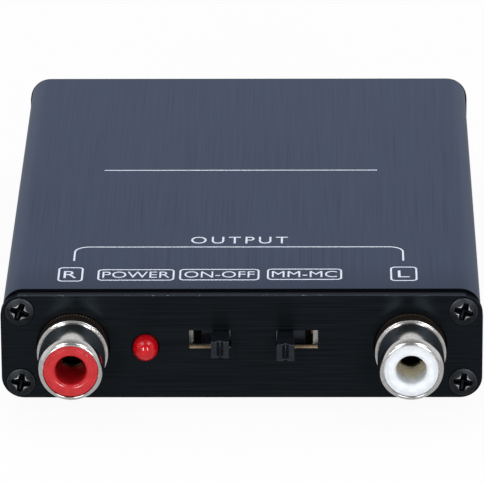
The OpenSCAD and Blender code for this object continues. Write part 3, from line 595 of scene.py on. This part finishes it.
# Drawn aluminium can: bright, with faint lines round it.
drawn_can = finish(
    "drawn_aluminium",
    grain_mm=(3, 3, 0.1),
    detail=3,
    dark="#a9abae",
    light="#d2d4d6",
    rough=(0.22, 0.4),
    Metallic=1.0,
)
dress(drawn_can, "electrolytic_capacitors")

# Dipped film capacitor: glossy red-brown epoxy with a slight orange-peel.
film_epoxy = finish(
    "dipped_epoxy_red",
    grain_mm=0.8,
    detail=2,
    dark="#7d1f18",
    light="#9a2a20",
    relief=(0.05, 0.4),
    Roughness=0.25,
)
dress(film_epoxy, "film_capacitors")


# Phono sockets
# Four sockets, outputs in front and inputs behind: a turned brass shell with nickel plating, a moulded
# insert, red for the right channel and white for the left, a slotted contact, and a black body.
barrel_r, shell_wall, shell_back, collar_out = 4.15, 0.72, -2.5, 2.2
crown_start, crown_drop, lip_long, lip_start_turn, rim_edge = 4.4, 0.08, 1.2, 0.12, 0.05
collar_round, knurl_start, knurl_deep, knurl_teeth, knurl_steps = 0.06, 0.15, 0.09, 72, 288
hole_r, mouth_round, insert_gap, insert_edge, insert_recess = 1.875, 0.6, 0.03, 0.1, 0.15
land_r, land_rise, land_round, bore_painted_light_deep = 2.9, 0.06, 0.03, 3.5
bore_r = barrel_r - shell_wall


def turned(name, profile, centre, outward, steps=96, teeth=0, ripple=0, soil_and_painted_light=0):
    """A turned piece: each (radius, distance out of the case) of a closed profile is carried round the
    axis through centre in equal steps. Ripple is how deep each profile point dips between that many
    teeth. Points are marked where they ripple, and where the last argument says so, which is soil on
    the shells' collars and painted light down the inserts' bores."""
    angle = np.linspace(0, 2 * np.pi, steps, endpoint=False)
    radius, out = np.asarray(profile, float).T
    ripple = np.broadcast_to(ripple, len(radius))
    dip = np.outer(ripple, 0.5 - 0.5 * np.cos(teeth * angle))
    reach = radius[:, None] - dip
    x = centre[0] + reach * np.cos(angle)
    z = centre[1] + reach * np.sin(angle)
    y = centre[2] + outward * np.repeat(out[:, None], len(angle), 1)
    marks_and_painted_light = np.broadcast_to(-np.maximum(ripple > 0, soil_and_painted_light)[:, None], x.shape)
    return skin(name, np.stack([x, y, z], -1) * MM, True, True, marks_and_painted_light)


def shell_outline(collar_r, rim_out):
    """The shell's profile, how deep its knurl is, and where it is soiled: a collar, a barrel that draws
    in with the square of the way to its lip, most of a quarter of an ellipse for the lip, and a straight
    bore."""
    collar = [
        (collar_r, shell_back),
        (collar_r, knurl_start),
        (collar_r, knurl_start + collar_round),
        (collar_r, collar_out - 2 * collar_round),
        (collar_r, collar_out),
        (barrel_r, collar_out),
        (barrel_r, crown_start),
    ]
    collar = rounded(collar, [0, 0, 0, 0, collar_round, collar_round, 0], 6, False)
    lip_start = rim_out - lip_long
    crown_out = np.linspace(crown_start, lip_start, 10)
    crown_r = barrel_r - crown_drop * ((crown_out - crown_start) / (lip_start - crown_start)) ** 2
    crown = np.stack([crown_r, crown_out], 1)
    sweep = np.linspace(lip_start_turn, math.pi / 2, 20)
    lip_r = bore_r + rim_edge + (crown_r[-1] - bore_r - rim_edge) * np.cos(sweep)
    lip = np.stack([lip_r, lip_start + lip_long * np.sin(sweep)], 1)
    bore = [(bore_r, rim_out - rim_edge), (bore_r, shell_back)]
    profile = np.vstack([collar, crown[1:], lip, bore])
    radius, out = profile.T
    on_collar = (radius > collar_r - 0.001) & (out < collar_out - 1.5 * collar_round)
    ripple = np.where(on_collar & (out > knurl_start), knurl_deep, 0)
    return profile, ripple, np.where(on_collar, 1, 0)


def insert_outline(rim_out):
    """The insert's profile and how much painted light it takes in its bore: a ring with a raised land
    and a rounded mouth, down whose bore the painted light grows evenly."""
    insert_out = rim_out - insert_recess
    insert_r = bore_r - insert_gap
    profile = [
        (hole_r, insert_out - bore_painted_light_deep),
        (hole_r, shell_back),
        (insert_r, shell_back),
        (insert_r, insert_out - land_rise),
        (land_r + land_rise, insert_out - land_rise),
        (land_r, insert_out),
        (hole_r, insert_out),
    ]
    profile = rounded(profile, [0, 0, 0, insert_edge, land_round, land_round, mouth_round])
    radius, out = profile.T
    down_bore = np.clip((insert_out - out) / bore_painted_light_deep, 0, 1)
    return profile, np.where(radius < hole_r + mouth_round, down_bore, 0)


# Bright nickel over turned brass: a warm mirror with small pits, dull where it is soiled.
nickel = finish(
    "nickel_plate_on_turned_brass",
    grain_mm=0.25,
    detail=4,
    dark="#b6b4b3",
    light="#cfcecd",
    relief=(0.002, 0.3),
    Metallic=1.0,
)
tree = nickel.node_tree
marks_and_painted_light = add(tree, "ShaderNodeAttribute", {}, attribute_name="marks_and_painted_light").outputs["Fac"]
soil = coat(nickel, "#574b42", marks_and_painted_light, 0.0, -1.0)
dull = add(tree, "ShaderNodeMapRange", {"Value": soil, "To Min": 0.15, "To Max": 0.42})
tree.links.new(dull.outputs["Result"], tree.nodes["Principled BSDF"].inputs["Roughness"])

# Moulded ABS, red: glossy, with faint flow marks, and darker down the bore as painted shade.
insert_red = finish(
    "moulded_abs_red",
    grain_mm=0.9,
    detail=3,
    dark="#a9171d",
    light="#b92026",
    rough=(0.16, 0.26),
    relief=(0.015, 0.3),
    Subsurface_Weight=0.1,
    Subsurface_Scale=0.001,
)
marks_and_painted_light = add(insert_red.node_tree, "ShaderNodeAttribute", {}, attribute_name="marks_and_painted_light").outputs["Fac"]
coat(insert_red, "#980f15", marks_and_painted_light, 0.0, -1.0)

# Moulded ABS, white: the same resin in a cool white, warmer down the bore as painted light bounced
# from the warm parts inside.
insert_white = finish(
    "moulded_abs_white",
    grain_mm=0.9,
    detail=3,
    dark="#d4d9df",
    light="#dce1e6",
    rough=(0.2, 0.32),
    relief=(0.015, 0.3),
    Subsurface_Weight=0.5,
    Subsurface_Scale=0.002,
    Subsurface_Radius=(1.0, 0.97, 0.9),
)
marks_and_painted_light = add(insert_white.node_tree, "ShaderNodeAttribute", {}, attribute_name="marks_and_painted_light").outputs["Fac"]
coat(insert_white, "#e0d8bf", marks_and_painted_light, -0.4, -1.0)

# Tinned brass, tarnished by plugs and air, and painted darker still as shade deep in the sockets'
# bores: a dark warm grey, duller in patches.
tarnished_and_shaded = finish(
    "tinned_brass_tarnished_and_shaded",
    grain_mm=0.4,
    detail=3,
    dark="#1c1914",
    light="#322d24",
    rough=(0.3, 0.5),
    Metallic=1.0,
)

# Moulded black nylon: half matt, with a fine spark-eroded grain, drawn at 0.15 mm so that it shows.
moulding = finish(
    "moulded_nylon_black",
    grain_mm=0.15,
    detail=3,
    dark="#131415",
    light="#202224",
    relief=(0.012, 0.5),
    Roughness=0.5,
)

channels = (("right", insert_red, "insert_red"), ("left", insert_white, "insert_white"))
for side, outward, face in (("out", -1, panel_face), ("in", 1, panel_back)):
    for channel, resin, slot in channels:
        socket = f"{side}_{channel}"
        low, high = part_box(socket + "_shell")
        centre = ((low.x + high.x) / 2 / MM, (low.z + high.z) / 2 / MM, face)
        collar_r = (high.z - low.z) / 2 / MM
        rim_out = abs((low.y if side == "out" else high.y) / MM - face)
        profile, ripple, soil_and_painted_light = shell_outline(collar_r, rim_out)
        shell = turned(
            socket + "_barrel", profile, centre, outward, knurl_steps, knurl_teeth, ripple, soil_and_painted_light
        )
        settle(shell, "case", "socket_nickel", nickel, socket + "_shell")
        profile, soil_and_painted_light = insert_outline(rim_out)
        insert = turned(socket + "_resin", profile, centre, outward, soil_and_painted_light=soil_and_painted_light)
        settle(insert, "case", slot, resin, socket + "_insert")
        contact = joined(socket + "_contact")
        settle(contact, "case", "contact_tin", tarnished_and_shaded, socket + "_contact")
        dress(moulding, socket + "_body")


# Power light
# A 3 mm light-emitting diode cast in clear red epoxy, with its dome through the panel
# and its two tinned leads bent down into the board.
lens_r, lens_rim_r, lens_back, lens_rim_front = 1.58, 1.9, -2.4, -1.4
lens_low, lens_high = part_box("power_light_lens")
lens_centre = ((lens_low.x + lens_high.x) / 2 / MM, (lens_low.z + lens_high.z) / 2 / MM, panel_face)
lens_out = panel_face - lens_low.y / MM
# Its profile goes from the axis out to the rim, along it, in to the barrel, and round a quarter of a
# circle to the top of the dome.
rise = np.linspace(0, math.pi / 2, 17)
dome = np.stack([lens_r * np.cos(rise), lens_out - lens_r + lens_r * np.sin(rise)], 1)
lens_rim = [
    (0, lens_back),
    (lens_rim_r, lens_back),
    (lens_rim_r, lens_rim_front),
    (lens_r, lens_rim_front),
]
lens = turned("power_light_dome", np.vstack([lens_rim, dome]), lens_centre, -1)

# Tinted epoxy: deep red all through, as smooth as glass, so it shows each lamp as a line.
red_epoxy = finish(
    "cast_epoxy_red",
    grain_mm=0.9,
    detail=2,
    dark="#a3060e",
    light="#be0f19",
    rough=(0.05, 0.12),
    Specular_IOR_Level=0.42,
    Subsurface_Weight=0.2,
    Subsurface_Scale=0.0006,
)
settle(lens, "case", "light_red", red_epoxy, "power_light_lens")

# Tinned brass: a soft grey metal, dulled in patches.
tinned = finish(
    "tinned_brass",
    grain_mm=0.4,
    detail=3,
    dark="#a8a292",
    light="#ccc7b8",
    rough=(0.28, 0.46),
    Metallic=1.0,
)
dress(tinned, "power_light_leads")


# Slide switches
# Two slide switches soldered behind the panel: a drawn steel frame, a laminate base with three
# terminals, and a black lever with a grooved tip that slides in the panel's window and carries a clip.
housing_edge, lever_edge, lever_sharper_than = 0.05, 0.14, 85

# Tin-plated steel: pale grey, with fine lines from the press.
plated_steel = finish(
    "tin_plated_steel",
    grain_mm=(0.2, 0.2, 1.5),
    detail=3,
    dark="#9a9d9c",
    light="#bcbebc",
    rough=(0.28, 0.45),
    Metallic=1.0,
)

# Resin-soaked paper laminate: near black, with layers that show as fine bands.
laminate = finish(
    "paper_laminate",
    grain_mm=(2, 0.1, 2),
    detail=3,
    dark="#120d09",
    light="#1e1610",
    Roughness=0.6,
)

# Rolled brass, slightly tarnished: yellow, a little darker and duller in patches.
brass = finish(
    "rolled_brass",
    grain_mm=0.6,
    detail=3,
    dark="#b08d4c",
    light="#d3b36c",
    rough=(0.22, 0.45),
    Metallic=1.0,
)

# Moulded black acetal: smooth, with small scuffs from fingers.
acetal = finish(
    "moulded_acetal_black",
    grain_mm=(0.3, 0.12, 0.3),
    detail=4,
    dark="#0c0e11",
    light="#181b20",
    rough=(0.14, 0.26),
    Specular_IOR_Level=0.5,
    Specular_Tint=linear("#cdd4e8"),
)

for switch, body in (("power", "power_lever"), ("cartridge", "cartridge_lever")):
    housing = joined(f"{switch}_switch_frame")
    ease(housing, housing_edge)
    settle(housing, "case", "frame_steel", plated_steel, f"{switch}_switch_frame")
    lever = joined(f"{switch}_switch_lever")
    ease(lever, lever_edge, lever_sharper_than)
    settle(lever, body, "moulding_black", acetal, f"{switch}_switch_lever")
    dress(laminate, f"{switch}_switch_base")
    dress(brass, f"{switch}_switch_terminals", f"{switch}_switch_clip")


# Supply socket
# A moulded inlet for a low-voltage plug, sunk in the board's rear edge, with a tinned centre pin
# and a brass leaf contact.
inlet_edge = 0.1
inlet = joined("supply_socket_body")
ease(inlet, inlet_edge)
settle(inlet, "case", "moulding_black", moulding, "supply_socket_body")
pin = joined("supply_socket_pin")
settle(pin, "case", "contact_tin", tinned, "supply_socket_pin")
dress(brass, "supply_socket_leaf")


# Ground terminal
# A threaded brass post through the rear panel with a lock nut, a solder tag, a washer and a fluted
# thumb nut. The nut clamps the ground wire of a turntable under the washer.
terminal_edge = 0.05
for name, body in (
    ("ground_post", "case"),
    ("ground_lock_nut", "case"),
    ("ground_tag", "case"),
    ("ground_washer", "clamp_washer"),
    ("ground_thumb_nut", "thumb_nut"),
):
    terminal = joined(name)
    ease(terminal, terminal_edge)
    settle(terminal, body, "terminal_brass", brass, name)


# Stage
# A plain white floor and a white surround, with two soft lamps above and two tall ones in front. Each
# tall lamp shows in the sockets' shoulders, and from there as a faint glow on the panel above them.
# Places and sizes here are in metres.
floor_half = 3.0
lamp_target = (0, -0.04, 0.01)
above_place, above_size, above_watts = (0.38, -0.27, 0.72), (0.4, 0.35), 1.5
strip_place, strip_size, strip_watts = (0.26, -0.72, 0.2), (0.1, 0.4), 2.35
# Brightness is 1 where it is white. The surround's limits are parts of a direction of length 1: upwards
# for what is low, in front or overhead, and backwards for the room and its light.
floor_lift, mirrored_floor = 0.94, 0.65
light_front, light_behind, light_turns = 0.06, 0.85, 0.3
white_level, low_level, front_level, overhead_level = 1.0, 0.65, 0.2, 0.35
low_ends, front_starts, overhead_starts, overhead_full = 0.38, 0.52, 0.5, 0.95
room_front, room_white = -0.6, 0.0

corners = np.array([[-1, -1, 0], [1, -1, 0], [1, 1, 0], [-1, 1, 0]]) * floor_half
floor_mesh = bpy.data.meshes.new("floor")
floor_mesh.from_pydata(corners.tolist(), [], [(0, 1, 2, 3)])
floor = put("floor", floor_mesh)
# Matt white paint. The camera sees it mostly as plain white, with a part of the object's shadow, and
# reflections see it dimmer.
floor_paint = bpy.data.materials.new("matt_white_floor")
floor_paint.use_nodes = True
tree = floor_paint.node_tree
shader = tree.nodes["Principled BSDF"]
shader.inputs["Base Color"].default_value = linear("#f6f6f6")
shader.inputs["Roughness"].default_value = 0.9
shader.inputs["Specular IOR Level"].default_value = 0.1
rays = add(tree, "ShaderNodeLightPath", {}).outputs
seen = rays["Is Camera Ray"]
for kind in ("Is Glossy Ray", "Is Transmission Ray"):
    seen = add(tree, "ShaderNodeMath", {0: seen, 1: rays[kind]}, operation="MAXIMUM").outputs["Value"]
lift = add(tree, "ShaderNodeMath", {0: seen, 1: floor_lift}, operation="MULTIPLY").outputs["Value"]
strength = {"Factor": rays["Is Camera Ray"], "A": mirrored_floor, "B": white_level}
strength = add(tree, "ShaderNodeMix", strength).outputs["Result"]
glow = add(tree, "ShaderNodeEmission", {"Strength": strength}).outputs["Emission"]
sheet = add(tree, "ShaderNodeMixShader", {0: lift, 1: shader.outputs["BSDF"], 2: glow})
tree.links.new(sheet.outputs["Shader"], tree.nodes["Material Output"].inputs["Surface"])
floor.data.materials.append(floor_paint)

world = bpy.data.worlds.new("studio")
bpy.context.scene.world = world
world.use_nodes = True
tree = world.node_tree
rays = add(tree, "ShaderNodeLightPath", {}).outputs
direction = add(tree, "ShaderNodeTexCoord", {}).outputs["Generated"]
direction = add(tree, "ShaderNodeSeparateXYZ", {"Vector": direction}).outputs
# In reflections the surround is white behind the object, dimmer low in front of it, and darker overhead
# and over the camera, as a room is. Its own light comes from behind, and the lamps light the front.
front = {"Value": direction["Z"], "From Min": low_ends, "From Max": front_starts}
front = add(tree, "ShaderNodeMapRange", {**front, "To Min": low_level, "To Max": front_level})
room = {"Value": direction["Y"], "From Min": room_front, "From Max": room_white}
room = {**room, "To Min": front.outputs["Result"], "To Max": white_level}
room = add(tree, "ShaderNodeMapRange", room)
above = {"Value": direction["Z"], "From Min": overhead_starts, "From Max": overhead_full}
above = add(tree, "ShaderNodeMapRange", {**above, "To Min": white_level, "To Max": overhead_level})
room = {0: room.outputs["Result"], 1: above.outputs["Result"]}
room = add(tree, "ShaderNodeMath", room, operation="MINIMUM").outputs["Value"]
fill = {"Value": direction["Y"], "From Min": -light_turns, "From Max": light_turns}
fill = add(tree, "ShaderNodeMapRange", {**fill, "To Min": light_front, "To Max": light_behind})
mirrored = {0: rays["Is Glossy Ray"], 1: rays["Is Transmission Ray"]}
mirrored = add(tree, "ShaderNodeMath", mirrored, operation="MAXIMUM").outputs["Value"]
level = add(tree, "ShaderNodeMix", {"Factor": mirrored, "A": fill.outputs["Result"], "B": room})
level = {"Factor": rays["Is Camera Ray"], "A": level.outputs["Result"], "B": white_level}
level = add(tree, "ShaderNodeMix", level).outputs["Result"]
surround = tree.nodes["Background"]
surround.inputs["Color"].default_value = linear("#ffffff")
tree.links.new(level, surround.inputs["Strength"])


def stand(made, x, y, z, place):
    """Stands an object at place, in metres, with its own axes along x, y and z."""
    turn = np.stack([x, y, z, place], 1)
    made.matrix_world = Matrix(np.vstack([turn, [0, 0, 0, 1]]).tolist())


def soft_lamp(name, place, size, watts):
    """A rectangular area lamp at place, in metres, that faces lamp_target, of this width and height."""
    data = bpy.data.lights.new(name, "AREA")
    data.shape = "RECTANGLE"
    data.size, data.size_y = size
    data.energy = watts
    z = np.array(place) - np.array(lamp_target)
    z /= np.linalg.norm(z)
    x = np.cross([0, 0, 1], z)
    x /= np.linalg.norm(x)
    stand(put(name, data), x, np.cross(z, x), z, place)


for side, name in ((-1, "left"), (1, "right")):
    soft_lamp(f"above_{name}", (side * above_place[0], *above_place[1:]), above_size, above_watts)
    soft_lamp(f"strip_{name}", (side * strip_place[0], *strip_place[1:]), strip_size, strip_watts)


# Camera
# The photograph's view: a long lens 22 degrees over the table, turned a little to the left.
# Its place and turn are such that the panel and the sockets fall where the photograph has them.
lens_mm, sensor_mm = 398.4, 36.0
elevation, yaw, roll = math.radians(21.812), math.radians(-0.861), math.radians(-0.377)
camera_place = np.array([9.358, panel_face - 614.522, 268.808]) * MM
level_ahead = math.cos(elevation)
ahead = np.array([math.sin(yaw) * level_ahead, math.cos(yaw) * level_ahead, -math.sin(elevation)])
level_right = np.array([math.cos(yaw), -math.sin(yaw), 0])
level_up = np.cross(level_right, ahead)
right = math.cos(roll) * level_right + math.sin(roll) * level_up
up = math.cos(roll) * level_up - math.sin(roll) * level_right
camera_data = bpy.data.cameras.new("camera")
camera_data.lens = lens_mm
camera_data.sensor_width = sensor_mm
camera_data.clip_start = 0.01
camera_data.clip_end = 50
camera = put("camera", camera_data)
stand(camera, right, up, -ahead, camera_place)
bpy.context.scene.camera = camera
bpy.context.scene.view_settings.view_transform = "Standard"
